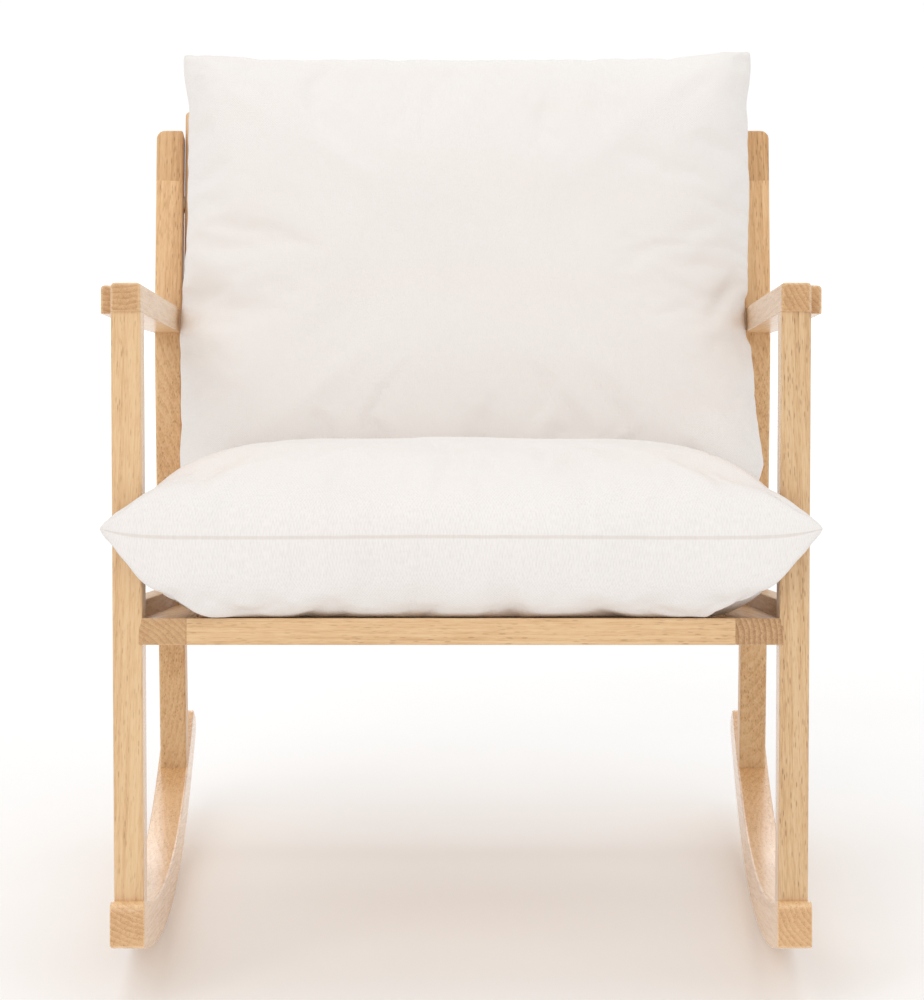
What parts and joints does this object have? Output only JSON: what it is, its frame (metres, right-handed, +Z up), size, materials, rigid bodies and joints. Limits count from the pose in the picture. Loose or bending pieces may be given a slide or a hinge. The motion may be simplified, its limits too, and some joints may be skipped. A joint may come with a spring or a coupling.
{
  "type": "rocking nursery chair",
  "caption": "Wooden rocking chair on curved runners with open arms, a slatted seat and back, and loose knife-edge seat and back cushions in plain cream linen.",
  "frame": {"origin": "centre of the bounding box's bottom, where the runners stand on the floor", "axes": "+X to the right seen from the front, +Y to the rear, +Z up, in the pose in which the empty chair balances on its runners"},
  "size_m": [0.678, 0.8296, 0.8491],
  "materials": {
    "frame_wood": "satin",
    "arm_wood": "satin",
    "slat_wood": "satin",
    "dowel_wood": "matte",
    "zinc_steel": "satin",
    "insert_brass": "satin",
    "linen_cover": "matte",
    "pad_cloth": "matte",
    "zip_nylon": "matte"
  },
  "bodies": {
    "frame": {"arm_dowels": "dowel_wood", "back_bottom_rail": "frame_wood", "back_frame_bolts": "zinc_steel", "back_frame_dowels": "dowel_wood", "back_slat_1": "slat_wood", "back_slat_2": "slat_wood", "back_slat_3": "slat_wood", "back_top_rail": "frame_wood", "barrel_nuts": "zinc_steel", "cleat_screws": "zinc_steel", "cross_rail_bolts": "zinc_steel", "cross_rail_dowels": "dowel_wood", "left_armrest": "arm_wood", "left_back_stile": "frame_wood", "left_front_leg": "frame_wood", "left_rear_leg": "frame_wood", "left_runner": "frame_wood", "left_seat_side_rail": "frame_wood", "left_side_apron": "frame_wood", "left_slat_cleat": "slat_wood", "right_armrest": "arm_wood", "right_back_stile": "frame_wood", "right_front_leg": "frame_wood", "right_rear_leg": "frame_wood", "right_runner": "frame_wood", "right_seat_side_rail": "frame_wood", "right_side_apron": "frame_wood", "right_slat_cleat": "slat_wood", "runner_dowels": "dowel_wood", "seat_front_rail": "frame_wood", "seat_rear_rail": "frame_wood", "seat_slat_1": "slat_wood", "seat_slat_2": "slat_wood", "seat_slat_3": "slat_wood", "seat_slat_4": "slat_wood", "seat_slat_5": "slat_wood", "side_frame_dowels": "dowel_wood", "slat_screws": "zinc_steel", "spacer_washers": "zinc_steel", "stile_foot_dowels": "dowel_wood", "threaded_inserts": "insert_brass"},
    "seat_cushion": {"seat_cushion_cover": "linen_cover", "seat_cushion_pad": "pad_cloth", "seat_cushion_zip": "zip_nylon"},
    "back_cushion": {"back_cushion_cover": "linen_cover", "back_cushion_pad": "pad_cloth", "back_cushion_zip": "zip_nylon"}
  },
  "joints": [
    {"name": "seat_cushion_slide", "type": "slide", "parent": "frame", "child": "seat_cushion", "axis": [0, -0.9857, 0.1685], "range_m": [0, 0.62]},
    {"name": "back_cushion_lift", "type": "slide", "parent": "frame", "child": "back_cushion", "axis": [0, 0.3239, 0.9461], "range_m": [0, 0.5]}
  ]
}
